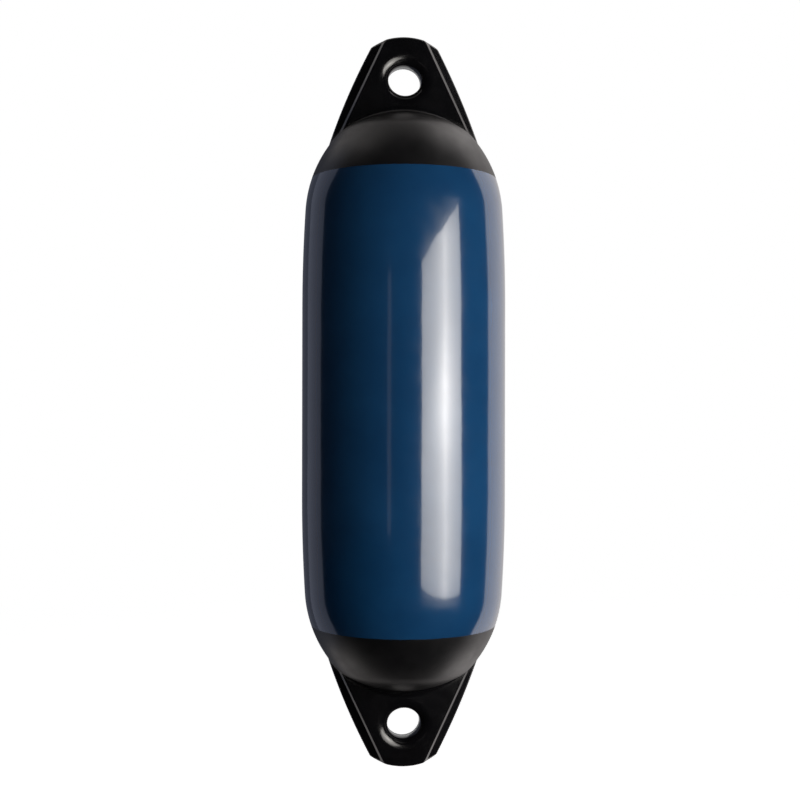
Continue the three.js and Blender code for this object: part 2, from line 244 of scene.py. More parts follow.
def make_mesh(name, points, quads, triangles=()):
    """A mesh object at the origin from points in millimetres about the middle of the fender."""
    mesh = bpy.data.meshes.new(name)
    faces = [*map(tuple, np.asarray(quads).tolist()), *map(tuple, np.asarray(triangles).tolist())]
    mesh.from_pydata(((points + MIDDLE) * MM).tolist(), [], faces)
    mesh.polygons.foreach_set("use_smooth", [True] * len(mesh.polygons))
    mesh.update()
    return placed(name, mesh)


def revolved(name, profile, columns, turn=None, place=(0, 0, 0)):
    """A profile of radii and heights, from axis to axis, turned about the axis: each point goes
    round a circle of its own radius, and the two ends close in a fan on the axis."""
    ring_profile = np.asarray(profile, dtype=float)[1:-1]
    angle = np.arange(columns) * (2 * math.pi / columns)
    x = ring_profile[:, :1] * np.cos(angle)
    y = ring_profile[:, :1] * np.sin(angle)
    z = np.repeat(ring_profile[:, 1:], columns, axis=1)
    points = np.stack([x, y, z], axis=-1).reshape(-1, 3)
    ends = np.array([[0, 0, profile[0][1]], [0, 0, profile[-1][1]]], dtype=float)
    points = np.concatenate([points, ends])
    if turn is not None:
        points = points @ np.asarray(turn).T
    rows = len(ring_profile)
    column = np.arange(columns)
    following = (column + 1) % columns
    first, last = rows * columns, rows * columns + 1
    top = (rows - 1) * columns
    start_fan = np.stack([np.full(columns, first), following, column], axis=1)
    end_fan = np.stack([np.full(columns, last), top + column, top + following], axis=1)
    fans = np.concatenate([start_fan, end_fan])
    return make_mesh(name, points + place, grid_faces(rows, columns), fans)


# The outline's arcs, from the middle of the tip arc: the side's centre, then the corner's, which is
# a corner radius inside both arcs, and the directions in which the corner meets the side and the tip.
ARC_CENTRE = TIP_HEIGHT - TIP_ARC_RADIUS
TIP_CORNER = np.array([TIP_HALF_WIDTH, math.sqrt(TIP_ARC_RADIUS**2 - TIP_HALF_WIDTH**2)])
SIDE_CENTRE = TIP_CORNER - SIDE_ARC_RADIUS * np.array([math.cos(FLARE_AT_TIP), math.sin(FLARE_AT_TIP)])


def corner_centre():
    """The point at two wanted distances from the tip arc's centre and from the side arc's centre:
    along the line between them by the cosine rule, then off it by Pythagoras, outwards."""
    to_tip, to_side = TIP_ARC_RADIUS - TIP_CORNER_RADIUS, SIDE_ARC_RADIUS - TIP_CORNER_RADIUS
    apart = np.hypot(*SIDE_CENTRE)
    along = (to_tip**2 - to_side**2 + apart**2) / (2 * apart)
    direction = SIDE_CENTRE / apart
    off = np.array([direction[1], -direction[0]]) * math.sqrt(to_tip**2 - along**2)
    return direction * along + off


CORNER = corner_centre()
CORNER_START = math.atan2(*(CORNER - SIDE_CENTRE)[::-1])
CORNER_END = math.atan2(CORNER[1], CORNER[0])


def ear_half_width(height):
    """Half-width of the ear's outline down its bowed, flared sides, by Pythagoras on their arc."""
    up = height - ARC_CENTRE - SIDE_CENTRE[1]
    return SIDE_CENTRE[0] + np.sqrt(SIDE_ARC_RADIUS**2 - up**2)


def face_half_width(height):
    """Half-width of the flat face, whose edges are straight lines that flare downwards."""
    return FACE_HALF_WIDTH_AT_EYE + (EYE_HEIGHT - height) * math.tan(FACE_FLARE)


def outline_margin(x, z):
    """Distance in from the ear's outline: the least of the distances to the tip arc and to the side
    arc, and at the corner the corner radius less the distance to the corner's centre. The tip arc
    counts only above its centre, because its circle comes back inside the flared root."""
    across, up = np.abs(x), z - ARC_CENTRE
    to_arc = np.where(up > 0, TIP_ARC_RADIUS - np.hypot(across, up), TIP_ARC_RADIUS)
    to_side = SIDE_ARC_RADIUS - np.hypot(across - SIDE_CENTRE[0], up - SIDE_CENTRE[1])
    angle = np.arctan2(up - CORNER[1], across - CORNER[0])
    in_corner = (angle > CORNER_START) & (angle < CORNER_END)
    to_corner = TIP_CORNER_RADIUS - np.hypot(across - CORNER[0], up - CORNER[1])
    return np.where(in_corner, to_corner, np.minimum(to_arc, to_side))


def root_fillet(x, z):
    """Radius of the fillet at the ear's root. It falls by a parabola from its full size on the
    fender's axis to the edge size at the side edges of the flat face, and stays so on the bevel."""
    fullness = np.clip(1 - (x / face_half_width(z)) ** 2, 0, 1)
    return ROOT_FILLET_AT_EDGE + (ROOT_FILLET - ROOT_FILLET_AT_EDGE) * fullness


def ear_face(x, z):
    """Half-thickness of the ear at a place on it. It is the lower of the flat face and the side
    bevel, joined by a soft minimum, then rounded down at the outline by a quarter circle, then
    flared where it nears the dome by the concave quarter circle of the root fillet. The bevel is
    the higher of two slopes: a short steep step down from the face, and a gentler border from the
    step's foot to the parting edge. The border's slope has an upper limit, so where the border is
    narrow, its outer edge is thicker. The flare changes the place that it is worked out at, so it
    takes four rounds."""
    outline = ear_half_width(z)
    width = outline - face_half_width(z)
    depth_in = (outline - np.abs(x)) / width
    step = EAR_HALF - (1 - depth_in) * width * BEVEL_STEP_DROP / BEVEL_STEP_WIDTH
    border_drop = EAR_HALF - BEVEL_STEP_DROP - PARTING_EDGE_HALF
    slope = np.minimum(border_drop / (width - BEVEL_STEP_WIDTH), math.tan(BEVEL_BORDER_SLOPE))
    border = EAR_HALF - BEVEL_STEP_DROP - slope * ((1 - depth_in) * width - BEVEL_STEP_WIDTH)
    bevel = np.maximum(step, border)
    blend = np.clip(0.5 + (bevel - EAR_HALF) / (2 * BEVEL_EDGE_SOFTNESS), 0, 1)
    soft = bevel + (EAR_HALF - bevel) * blend - BEVEL_EDGE_SOFTNESS * blend * (1 - blend)
    edge = np.clip(soft * TIP_EDGE_ROUND / EAR_HALF, SIDE_EDGE_ROUND, TIP_EDGE_ROUND)
    short = np.clip(edge - np.maximum(outline_margin(x, z), 0), 0, edge)
    rounded = soft - (edge - np.sqrt(np.maximum(edge**2 - short**2, 0)))
    fillet = root_fillet(x, z)
    half = rounded
    for _ in range(4):
        clearance = dome_clearance(np.hypot(x, half), z)
        floor = fillet * (1 - math.sin(ROOT_FILLET_SWEEP))
        gap = np.clip(fillet - np.maximum(clearance, floor), 0, fillet)
        half = rounded + fillet - np.sqrt(fillet**2 - gap**2)
    return half


def solve_height(x, low, high, wanted):
    """Height between low and high at which wanted(x, height) crosses zero, by halving 40 times."""
    low = np.full_like(x, low)
    high = np.full_like(x, high)
    for _ in range(40):
        middle = (low + high) / 2
        above = wanted(x, middle) > 0
        high = np.where(above, middle, high)
        low = np.where(above, low, middle)
    return (low + high) / 2


def ear_corners():
    """Heights of the loops' corners: where the bevel's upper edge meets the rounded tip edge, where
    it meets the root fillet, and where the outline meets the dome."""
    def past_tip(_, z):
        return np.hypot(face_half_width(z), z - ARC_CENTRE) - (TIP_ARC_RADIUS - TIP_EDGE_ROUND)

    def past_root(_, z):
        return dome_clearance(np.hypot(face_half_width(z), EAR_HALF), z) - ROOT_FILLET_AT_EDGE

    def past_dome(_, z):
        return dome_clearance(ear_half_width(z), z)

    one = np.zeros(1)
    below_tip = TIP_HEIGHT - TIP_EDGE_ROUND
    tip_end = solve_height(one, ARC_CENTRE, TIP_HEIGHT, past_tip)[0]
    root_end = solve_height(one, CROWN_TURN_CENTRE_HEIGHT, below_tip, past_root)[0]
    junction = solve_height(one, SHOULDER_CENTRE_HEIGHT, below_tip, past_dome)[0]
    return tip_end, root_end, junction


def ear_outline(tip_end, junction):
    """Half of the outer loop, from the middle of the tip down to the dome: the tip arc above the
    flat face, the rest of the tip arc, the corner and the side."""
    split = math.acos(face_half_width(tip_end) / TIP_ARC_RADIUS)
    flat_tip = np.linspace(math.pi / 2, split, TIP_STEPS + 1)[:-1]
    bevelled_tip = np.linspace(split, CORNER_END, CORNER_STEPS + 1)[:-1]
    corner = np.linspace(CORNER_END, CORNER_START, CORNER_STEPS + 1)[:-1]
    arc = np.concatenate([flat_tip, bevelled_tip])
    tip = np.concatenate([
        TIP_ARC_RADIUS * np.stack([np.cos(arc), np.sin(arc)], axis=1),
        CORNER + TIP_CORNER_RADIUS * np.stack([np.cos(corner), np.sin(corner)], axis=1),
    ])
    corner_end = CORNER[1] + TIP_CORNER_RADIUS * math.sin(CORNER_START) + ARC_CENTRE
    side = np.linspace(corner_end, junction, SIDE_STEPS + 1)[:-1]
    return np.concatenate([tip + [0, ARC_CENTRE], np.stack([ear_half_width(side), side], axis=1)])


def face_outline(tip_end, root_end):
    """Half of the inner loop, from the middle of the tip down to the root fillet: the rounded tip
    edge, then the bevel's upper edge, with shorter steps beside the corner."""
    radius = TIP_ARC_RADIUS - TIP_EDGE_ROUND
    split = math.acos(face_half_width(tip_end) / radius)
    arc = np.linspace(math.pi / 2, split, TIP_STEPS + 1)[:-1]
    tip = radius * np.stack([np.cos(arc), np.sin(arc)], axis=1) + [0, ARC_CENTRE]
    near_corner = tip_end - TIP_CORNER_RADIUS
    heights = np.concatenate([
        np.linspace(tip_end, near_corner, 2 * CORNER_STEPS + 1)[:-1],
        np.linspace(near_corner, root_end, SIDE_STEPS + 1)[:-1],
    ])
    return np.concatenate([tip, np.stack([face_half_width(heights), heights], axis=1)])


def ear_foot(junction, root_end):
    """Half of the foot as two lines: where the fillet runs out on the dome, and where it starts."""
    def past_fillet_end(x, z):
        floor = root_fillet(x, z) * (1 - math.sin(ROOT_FILLET_SWEEP))
        return dome_clearance(np.hypot(x, ear_face(x, z)), z) - floor

    def past_fillet_start(x, z):
        return dome_clearance(np.hypot(x, EAR_HALF), z) - root_fillet(x, z)

    share = np.linspace(1, 0, FOOT_STEPS + 1)
    outer_x = share * ear_half_width(junction)
    inner_x = share * face_half_width(root_end)
    low = SHOULDER_CENTRE_HEIGHT
    outer_z = solve_height(outer_x, low, TIP_HEIGHT, past_fillet_end)
    inner_z = solve_height(inner_x, low, TIP_HEIGHT, past_fillet_start)
    return np.stack([outer_x, outer_z], axis=1), np.stack([inner_x, inner_z], axis=1)


def ear_loops():
    """Two closed loops in X and Z round one ear, and which of their points lie on the foot. The
    outer one is its outline and the line where its foot runs out on the dome. The inner one is the
    edge of the flat face. Both run from the middle of the tip round the right side to the middle
    of the foot, and back up the left side as its mirror image."""
    tip_end, root_end, junction = ear_corners()
    outer_foot, inner_foot = ear_foot(junction, root_end)
    inner = np.concatenate([face_outline(tip_end, root_end), inner_foot])
    outer = np.concatenate([ear_outline(tip_end, junction), outer_foot])
    on_foot = np.arange(len(outer)) >= len(outer) - len(outer_foot)
    mirror = [-1, 1]
    return (
        np.concatenate([inner, inner[-2:0:-1] * mirror]),
        np.concatenate([outer, outer[-2:0:-1] * mirror]),
        np.concatenate([on_foot, on_foot[-2:0:-1]]),
    )


def eye_rim(inner):
    """The eye's rim in plan and half-thickness, row by row from the middle of the bore outwards by
    an arc of the rim radius. Each column heads for its point on the inner loop."""
    eye = np.array([0.0, EYE_HEIGHT])
    ray = inner - eye
    ray = ray / np.hypot(ray[:, 0], ray[:, 1])[:, None]
    angle = np.linspace(EYE_RIM_START, math.pi / 2, RIM_ROWS + 1)[:, None, None]
    reach = EYE_HALF_WIDTH + EYE_RIM_ROUND * (math.cos(EYE_RIM_START) - np.cos(angle))
    plan = eye + reach * ray * [1, EYE_HALF_HEIGHT / EYE_HALF_WIDTH]
    half = EAR_HALF - EYE_RIM_ROUND * (1 - np.sin(angle[..., 0]))
    return plan, np.broadcast_to(half, plan.shape[:2])


def face_rows(rim_edge, inner, outer):
    """Rows in plan from the rim's edge: over the flat face to the inner loop, then across the bevel
    or the fillet to the outer loop. One row lies along the foot of the bevel's step."""
    out = 1 - (1 - np.linspace(0, 1, FLAT_ROWS + 1)[1:, None, None]) ** FLAT_ROWS_POWER
    flat = rim_edge + out * (inner - rim_edge)
    step_foot = BEVEL_STEP_WIDTH / (ear_half_width(outer[:, 1]) - face_half_width(outer[:, 1]))
    down = np.linspace(0, 1, STEP_ROWS + 1)[1:, None]
    across = np.sin(np.linspace(0, math.pi / 2, BORDER_ROWS + 1))[1:, None]
    fall = np.concatenate([down * step_foot, step_foot + (1 - step_foot) * across])[..., None]
    return np.concatenate([flat, inner + fall * (outer - inner)])


def ear_piece(name, upside):
    """One ear as a closed ring of quads round its eye: rows go out over the rim and the front face
    to the outer loop, then back over the other face. Past the outline the wall closes towards the
    parting plane, and past the foot it runs into the dome. upside is 1 above and -1 below."""
    inner, outer, on_foot = ear_loops()
    rim_plan, rim_half = eye_rim(inner)
    face_plan = face_rows(rim_plan[-1], inner, outer)
    face_half = ear_face(face_plan[..., 0], face_plan[..., 1])
    edge_half = np.maximum(face_half[-1], LEAST_EDGE_HALF)
    face_half[-1] = edge_half
    root_plan = outer - np.where(on_foot, ROOT_FILLET, 0)[:, None] * [0, 1]
    root_half = np.where(on_foot, edge_half, edge_half / 2)
    plan = np.concatenate([rim_plan, face_plan, root_plan[None]])
    half = np.concatenate([rim_half, face_half, root_half[None]])

    # Front rows outwards, then back rows inwards, so that the ring closes through the bore.
    front = np.stack([plan[..., 0], -half, plan[..., 1]], axis=-1)
    back = np.stack([plan[..., 0], half, plan[..., 1]], axis=-1)[::-1]
    points = np.concatenate([front, back])
    rows, columns = points.shape[:2]
    points = points.reshape(-1, 3) * [1, upside, upside]
    return make_mesh(name, points, grid_faces(rows, columns, close_rows=True))


def joined(target, other, how):
    """Joins or cuts one closed mesh with another and leaves only the closed result. The modifier
    also leaves an empty material slot, which is cleared so that the piece's own comes first."""
    change = target.modifiers.new(how.lower(), "BOOLEAN")
    change.operation = how
    change.solver = "MANIFOLD"
    change.object = other
    scene_graph = bpy.context.evaluated_depsgraph_get()
    mesh = bpy.data.meshes.new_from_object(target.evaluated_get(scene_graph))
    target.modifiers.clear()
    mesh.materials.clear()
    mesh.polygons.foreach_set("material_index", np.zeros(len(mesh.polygons), dtype=np.int32))
    target.data = mesh
    bpy.data.objects.remove(other)


def valve_frame():
    """The valve's place on the lower crown, and the turn whose third column is the way it faces."""
    height = float(dome_height(np.array([VALVE_OFF_AXIS]))[0])
    outward = VALVE_OFF_AXIS / CROWN_RADIUS
    upward = math.sqrt(1 - outward**2)
    facing = np.array([0, outward, -upward])
    side = np.array([1.0, 0, 0])
    place = np.array([0, VALVE_OFF_AXIS, -height])
    return place, np.stack([side, np.cross(facing, side), facing], axis=1)


def rounded_profile(corners, radius, steps=4, most=0.45):
    """A profile through corner points, each rounded by a quadratic curve that starts and ends at
    the rounding radius from the corner, or at the greatest share of a shorter side. The first and
    last points, on the axis, stay as they are."""
    corners = np.asarray(corners, dtype=float)
    share = np.linspace(0, 1, steps + 1)[:, None]
    pieces = [corners[:1]]
    for before, corner, after in zip(corners[:-2], corners[1:-1], corners[2:]):
        back, forward = np.hypot(*(before - corner)), np.hypot(*(after - corner))
        reach = min(radius, most * back, most * forward)
        start = corner + (before - corner) / back * reach
        end = corner + (after - corner) / forward * reach
        pieces.append((1 - share) ** 2 * start + 2 * share * (1 - share) * corner + share**2 * end)
    pieces.append(corners[-1:])
    return np.concatenate(pieces)


def fender_moulding(place, turn):
    """The whole moulding as one skin: the turned tube with its domed ends, joined to an ear on each
    end, less the stepped seat of the valve."""
    moulding = revolved("fender_moulding", wall_profile(), TUBE_COLUMNS)
    for name, upside in (("upper_ear", 1), ("lower_ear", -1)):
        joined(moulding, ear_piece(name, upside), "UNION")
    flange = VALVE_FLANGE_RADIUS + CLEARANCE
    stem = VALVE_STEM_RADIUS + CLEARANCE
    floor = -VALVE_FLANGE_THICKNESS - CLEARANCE
    lip = EDGE_BREAK
    cutter = [
        (0, -VALVE_STEM_LENGTH - CLEARANCE), (stem, -VALVE_STEM_LENGTH - CLEARANCE), (stem, floor),
        (flange, floor), (flange, -lip), (flange + lip, lip), (flange + 4 * lip, 5 * lip), (0, 5 * lip),
    ]
    seat = revolved("valve_seat_cutter", cutter, VALVE_COLUMNS, turn, place)
    joined(moulding, seat, "DIFFERENCE")
    return moulding


def valve_bush(place, turn):
    """The valve's flanged bush: a turned profile with a recess for the plug's head and a bore."""
    recess = PLUG_HEAD_RADIUS + CLEARANCE
    recess_floor = -PLUG_HEAD_THICKNESS - CLEARANCE
    bore = PLUG_SHANK_RADIUS + CLEARANCE
    corners = [
        (0, -VALVE_STEM_LENGTH), (VALVE_STEM_RADIUS, -VALVE_STEM_LENGTH),
        (VALVE_STEM_RADIUS, -VALVE_FLANGE_THICKNESS), (VALVE_FLANGE_RADIUS, -VALVE_FLANGE_THICKNESS),
        (VALVE_FLANGE_RADIUS, 0), (recess, 0), (recess, recess_floor), (bore, recess_floor),
        (bore, recess_floor - PLUG_SHANK_LENGTH), (0, recess_floor - PLUG_SHANK_LENGTH),
    ]
    profile = rounded_profile(corners, EDGE_BREAK)
    return revolved("valve_bush", profile, VALVE_COLUMNS, turn, place)


def screw_plug(place, turn):
    """The plug: a turned head and shank, with a coin slot cut across the head."""
    under_head = -PLUG_HEAD_THICKNESS
    shank_end = under_head - PLUG_SHANK_LENGTH + CLEARANCE
    corners = [
        (0, shank_end), (PLUG_SHANK_RADIUS, shank_end), (PLUG_SHANK_RADIUS, under_head),
        (PLUG_HEAD_RADIUS, under_head), (PLUG_HEAD_RADIUS, 0), (0, 0),
    ]
    profile = rounded_profile(corners, EDGE_BREAK)
    plug = revolved("screw_plug", profile, VALVE_COLUMNS, turn, place)
    half = np.array([2 * PLUG_HEAD_RADIUS, PLUG_SLOT_WIDTH / 2, PLUG_SLOT_DEPTH])
    corner = np.array([(x, y, z) for z in (-1, 1) for y in (-1, 1) for x in (-1, 1)], dtype=float)
    points = (corner * half) @ turn.T + place
    quads = [(0, 2, 3, 1), (4, 5, 7, 6), (0, 1, 5, 4), (2, 6, 7, 3), (0, 4, 6, 2), (1, 3, 7, 5)]
    joined(plug, make_mesh("slot_cutter", points, quads), "DIFFERENCE")
    return plug


def linear(colour):
    """A colour written as sRGB hex, as linear red, green, blue and full alpha."""
    channels = [int(colour[i:i + 2], 16) / 255 for i in (1, 3, 5)]
    return (*(c / 12.92 if c <= 0.04045 else ((c + 0.055) / 1.055) ** 2.4 for c in channels), 1.0)


def add(tree, kind, inputs=None, **settings):
    """Adds a node, sets its properties, and sets or links each named or numbered input."""
    node = tree.nodes.new(kind)
    for name, value in settings.items():
        setattr(node, name, value)
    for name, value in (inputs or {}).items():
        if isinstance(value, bpy.types.NodeSocket):
            tree.links.new(value, node.inputs[name])
        else:
            node.inputs[name].default_value = value
    return node


def new_material(name):
    """An empty node material with its output, and the tree to build it in."""
    material = bpy.data.materials.new(name)
    material.use_nodes = True
    tree = material.node_tree
    tree.nodes.clear()
    return material, tree, tree.nodes.new("ShaderNodeOutputMaterial")


def noise(tree, place, pitch, detail=2.0):
    """Noise whose blotches are about pitch millimetres apart."""
    inputs = {"Vector": place, "Scale": 1 / (pitch * MM), "Detail": detail, "Roughness": 0.5}
    return add(tree, "ShaderNodeTexNoise", inputs).outputs[0]


def ramp(tree, value, start, end, low=0.0, high=1.0, **settings):
    """A value's run from start to end, stretched to run from low to high and held there beyond."""
    inputs = {"Value": value, "From Min": start, "From Max": end, "To Min": low, "To Max": high}
    return add(tree, "ShaderNodeMapRange", inputs, **settings).outputs[0]


def spread(tree, value, low=0.0, high=1.0):
    """Noise, which mostly lies between 0.3 and 0.7, stretched to run from low to high."""
    return ramp(tree, value, 0.3, 0.7, low, high)


def tint(tree, share, first, second):
    """Two colours written as sRGB hex, mixed by a share."""
    inputs = {0: share, 6: linear(first), 7: linear(second)}
    return add(tree, "ShaderNodeMix", inputs, data_type="RGBA").outputs[2]


def bump(tree, pattern, strength, depth, under=None):
    """A normal bent by a pattern that stands for a depth in millimetres, over an earlier normal
    where one is given."""
    inputs = {"Strength": strength, "Distance": depth * MM, "Height": pattern}
    if under is not None:
        inputs["Normal"] = under
    return add(tree, "ShaderNodeBump", inputs).outputs[0]


def blue_plasticised_pvc():
    """Soft PVC, moulded against a polished tool: deep blue right through, and glossy enough to
    mirror a lamp, with slow waves in the skin that bend the mirror's edges a little."""
    material, tree, output = new_material("blue_plasticised_pvc_polished_mould")
    place = add(tree, "ShaderNodeTexCoord").outputs["Object"]
    patches = noise(tree, place, 30, detail=3)
    haze = noise(tree, place, 9, detail=4)
    waves = bump(tree, noise(tree, place, 26, detail=1), 0.25, 0.5)
    peel = bump(tree, noise(tree, place, 1.6), 0.05, 0.05, waves)
    shader = add(tree, "ShaderNodeBsdfPrincipled", {
        "Base Color": tint(tree, spread(tree, patches), "#133D66", "#17446F"),
        "Roughness": spread(tree, haze, 0.13, 0.2), "IOR": 1.54,
        "Coat Weight": 1.0, "Coat Roughness": 0.05, "Coat IOR": 1.5,
        "Normal": peel, "Coat Normal": peel,
    })
    tree.links.new(shader.outputs[0], output.inputs[0])
    return material


def black_plasticised_pvc():
    """Soft PVC, moulded black. The domes are moulded against a blasted tool, whose fine satin grain
    spreads the lamp into a broad grey sheen. The ears are pressed between polished faces, so their
    edges and rims catch the lamp as crisp lines. The change lies 0.3 to 3 mm off the dome."""
    material, tree, output = new_material("black_plasticised_pvc_satin_mould")
    place = add(tree, "ShaderNodeTexCoord").outputs["Object"]
    patches = noise(tree, place, 18, detail=3)
    haze = noise(tree, place, 7, detail=4)
    waves = bump(tree, noise(tree, place, 14, detail=1), 0.3, 0.3)
    grain = bump(tree, noise(tree, place, 0.7), 0.15, 0.03, waves)
    off = add(tree, "ShaderNodeAttribute", attribute_name="off_the_dome").outputs["Fac"]
    on_ear = ramp(tree, off, 0.3 * MM, 3 * MM)
    satin = spread(tree, haze, 0.35, 0.42)
    polish = spread(tree, haze, 0.14, 0.2)
    shader = add(tree, "ShaderNodeBsdfPrincipled", {
        "Base Color": tint(tree, spread(tree, patches), "#08080A", "#0E0E11"),
        "Roughness": add(tree, "ShaderNodeMix", {0: on_ear, 2: satin, 3: polish}).outputs[0],
        "IOR": 1.58, "Normal": grain,
    })
    tree.links.new(shader.outputs[0], output.inputs[0])
    return material


def black_nylon(name, colour):
    """Nylon, injection moulded: near black and satin, with a fine spark-eroded grain."""
    material, tree, output = new_material(name)
    place = add(tree, "ShaderNodeTexCoord").outputs["Object"]
    haze = noise(tree, place, 3, detail=3)
    shader = add(tree, "ShaderNodeBsdfPrincipled", {
        "Base Color": tint(tree, spread(tree, haze), colour, "#303033"),
        "Roughness": spread(tree, haze, 0.38, 0.5), "IOR": 1.53,
        "Normal": bump(tree, noise(tree, place, 0.5), 0.3, 0.04),
    })
    tree.links.new(shader.outputs[0], output.inputs[0])
    return material


def paint_moulding(moulding, blue, black):
    """Blue between the colour rings and black beyond them, by the height of each face's middle. The
    attribute off_the_dome holds each point's distance from the end's surface, in metres."""
    mesh = moulding.data
    mesh.materials.append(blue)
    mesh.materials.append(black)
    middles = np.zeros(len(mesh.polygons) * 3)
    mesh.polygons.foreach_get("center", middles)
    height = np.abs(middles[2::3] / MM - MIDDLE[2])
    mesh.polygons.foreach_set("material_index", (height > COLOUR_RING_HEIGHT).astype(np.int32))
    mesh.polygons.foreach_set("use_smooth", [True] * len(mesh.polygons))
    mesh.set_sharp_from_angle(angle=SHARP_ANGLE)
    points = np.zeros(len(mesh.vertices) * 3)
    mesh.vertices.foreach_get("co", points)
    points = points.reshape(-1, 3) / MM - MIDDLE
    off = dome_clearance(np.hypot(points[:, 0], points[:, 1]), np.abs(points[:, 2]))
    layer = mesh.attributes.new("off_the_dome", "FLOAT", "POINT")
    layer.data.foreach_set("value", off.astype(np.float32) * MM)
    mesh.update()


def toward(azimuth, distance, height=0.0):
    """A place in metres round the fender: azimuth is turned from the camera's own, rightwards."""
    angle = CAMERA_AZIMUTH + math.radians(azimuth)
    place = MIDDLE + [distance * math.sin(angle), -distance * math.cos(angle), height]
    return place * MM


def glowing_cloth(name, colour, glow):
    """The face of a stage panel, whose glow is worked out across its own UV map."""
    material, tree, output = new_material(name)
    light = add(tree, "ShaderNodeEmission", {"Color": linear(colour), "Strength": glow(tree)})
    tree.links.new(light.outputs[0], output.inputs[0])
    return material


def panel(name, rows, material):
    """A stage panel through rows of two points, lowest row first, with a UV map from 0 to 1 across
    and up. The camera doesn't see it."""
    points = [tuple(point) for row in rows for point in row]
    quads = [(2 * k, 2 * k + 1, 2 * k + 3, 2 * k + 2) for k in range(len(rows) - 1)]
    mesh = bpy.data.meshes.new(name)
    mesh.from_pydata(points, [], quads)
    layer = mesh.uv_layers.new(name="across_and_up")
    corner = np.array(quads).ravel()
    place = np.stack([corner % 2, corner // 2 / (len(rows) - 1)], axis=1)
    layer.data.foreach_set("uv", place.ravel())
    mesh.materials.append(material)
    piece = placed(name, mesh)
    piece.visible_camera = False


def panel_place(tree):
    """Where a point lies on its stage panel, across and up, each from 0 to 1."""
    layer = add(tree, "ShaderNodeUVMap", uv_map="across_and_up")
    parts = add(tree, "ShaderNodeSeparateXYZ", {0: layer.outputs[0]})
    return parts.outputs[0], parts.outputs[1]


def worked(tree, operation, *inputs):
    """The result of one step of arithmetic on values and other nodes' outputs."""
    return add(tree, "ShaderNodeMath", dict(enumerate(inputs)), operation=operation).outputs[0]


# The softbox, to the right of the camera: distance and heights in millimetres, azimuths in degrees.
# Its lamp shows as a bright upright line in its cloth. A fall is how fast a glow fades, as a power
# of e over the whole width, or over the whole height squared. The foot is the lower part of the
# cloth, which dims: the share of the height that it takes, and of the glow that its edge keeps.
SOFTBOX_DISTANCE = 700.0
SOFTBOX_LEFT = 19.0
SOFTBOX_LINE = 44.8
SOFTBOX_RIGHT = 63.8
SOFTBOX_LEAN = 1.4
SOFTBOX_LOW = -268.0
SOFTBOX_HIGH_LEFT = 178.0
SOFTBOX_HIGH_RIGHT = 278.0
SOFTBOX_EDGE_GLOW = 3.4
SOFTBOX_LINE_GLOW = 4.8
SOFTBOX_LINE_FALL = 4.6
SOFTBOX_SPOT_GLOW = 4.9
SOFTBOX_SPOT_FALL = 70.0
SOFTBOX_FOOT_GLOW = 0.84
SOFTBOX_FOOT_HEIGHT = 0.42


def softbox():
    """The softbox's glow is its edge glow plus a peak that falls off evenly, by a fixed share for
    each step away from the lamp's line. The peak is brightest halfway up, where the lamp sits: there
    a hot spot, whose glow is a bell curve of the height, adds to the line. Towards the lower edge
    the whole cloth dims a little."""
    def glow(tree):
        across, up = panel_place(tree)
        line = (SOFTBOX_LINE - SOFTBOX_LEFT) / (SOFTBOX_RIGHT - SOFTBOX_LEFT)
        away = worked(tree, "ABSOLUTE", worked(tree, "SUBTRACT", across, line))
        peak = worked(tree, "EXPONENT", worked(tree, "MULTIPLY", away, -SOFTBOX_LINE_FALL))
        bow = worked(tree, "POWER", worked(tree, "SUBTRACT", up, 0.5), 2.0)
        spot = worked(tree, "EXPONENT", worked(tree, "MULTIPLY", bow, -SOFTBOX_SPOT_FALL))
        lamp = worked(tree, "MULTIPLY_ADD", spot, SOFTBOX_SPOT_GLOW, SOFTBOX_LINE_GLOW)
        level = worked(tree, "MULTIPLY_ADD", peak, lamp, SOFTBOX_EDGE_GLOW)
        dim = ramp(tree, up, 0.0, SOFTBOX_FOOT_HEIGHT, SOFTBOX_FOOT_GLOW, 1.0)
        return worked(tree, "MULTIPLY", level, dim)

    low = (toward(SOFTBOX_LEFT, SOFTBOX_DISTANCE, SOFTBOX_LOW),
           toward(SOFTBOX_RIGHT + SOFTBOX_LEAN, SOFTBOX_DISTANCE, SOFTBOX_LOW))
    high = (toward(SOFTBOX_LEFT, SOFTBOX_DISTANCE, SOFTBOX_HIGH_LEFT),
            toward(SOFTBOX_RIGHT - SOFTBOX_LEAN, SOFTBOX_DISTANCE, SOFTBOX_HIGH_RIGHT))
    panel("softbox", [low, high], glowing_cloth("softbox_cloth", "#FFFBF5", glow))


# The cards stand round the fender. The back card is a little farther off, so that none touches.
CARD_DISTANCE = 900.0
BACK_CARD_DISTANCE = 910.0
CARD_BOW_HEIGHT = 600.0
CARD_ROWS = 21
WARM_WHITE = "#FFF9F7"
COOL_WHITE = "#DEE5FF"


